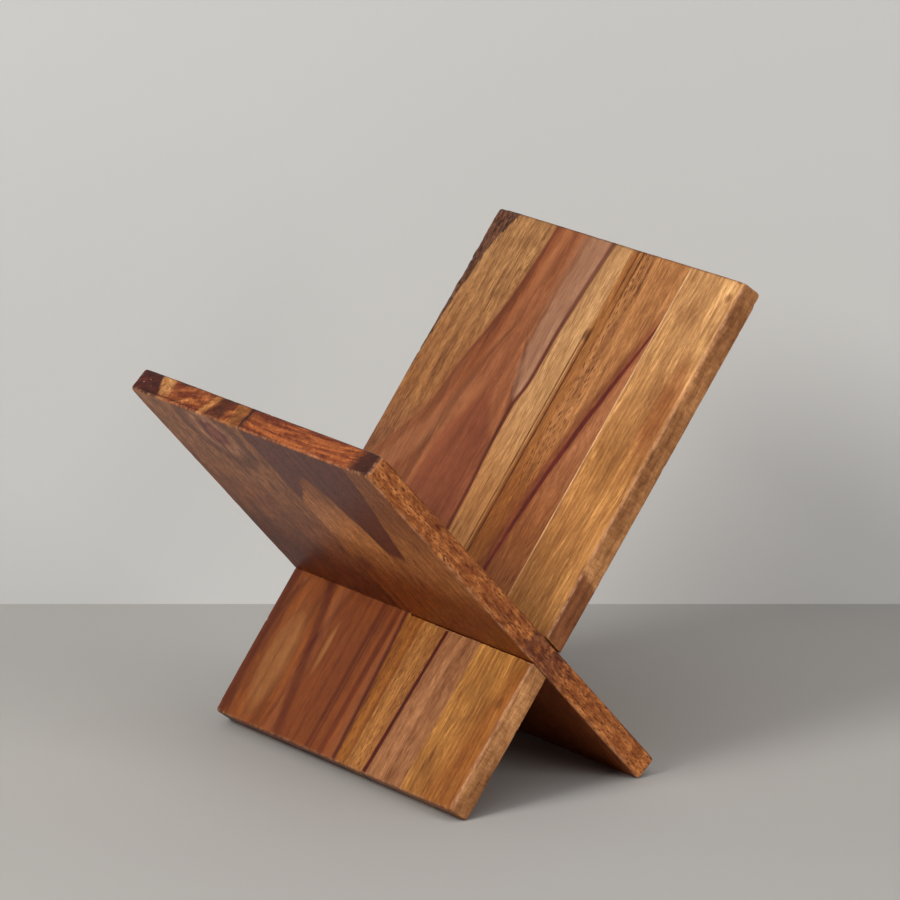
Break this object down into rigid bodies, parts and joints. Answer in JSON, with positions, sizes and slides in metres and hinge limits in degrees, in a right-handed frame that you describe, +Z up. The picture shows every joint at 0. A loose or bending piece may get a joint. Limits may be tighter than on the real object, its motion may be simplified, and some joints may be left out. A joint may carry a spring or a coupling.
{
  "type": "quran stand",
  "caption": "Tabletop book stand of two slotted solid-wood boards that cross in an X, with a short front board and a tall back board that slide apart.",
  "frame": {"origin": "on the surface the stand rests on, at the centre of the bounding box of the assembled stand", "axes": "+Z up; +X to the reader's right, along the crossing; the reader sits on the -Y side, facing the tall back board, whose top leans to +Y"},
  "size_m": [0.224, 0.271, 0.2741],
  "materials": {
    "front_right_wood": "satin oiled hardwood, dark streaks",
    "front_left_wood": "satin oiled hardwood, grey-brown",
    "back_left_wood": "satin oiled hardwood, heartwood and sapwood",
    "back_middle_wood": "satin oiled hardwood, golden to maroon",
    "back_right_wood": "satin oiled hardwood, golden"
  },
  "bodies": {
    "front_board": {"front_right_stave": "front_right_wood", "front_left_upper_stave": "front_left_wood", "front_left_lower_stave": "front_left_wood"},
    "back_board": {"back_left_stave": "back_left_wood", "back_middle_upper_stave": "back_middle_wood", "back_middle_lower_stave": "back_middle_wood", "back_right_upper_stave": "back_right_wood", "back_right_lower_stave": "back_right_wood"}
  },
  "joints": [
    {"name": "board_slide", "type": "slide", "parent": "front_board", "child": "back_board", "axis": [-1, 0, 0], "range_m": [0, 0.23]}
  ]
}
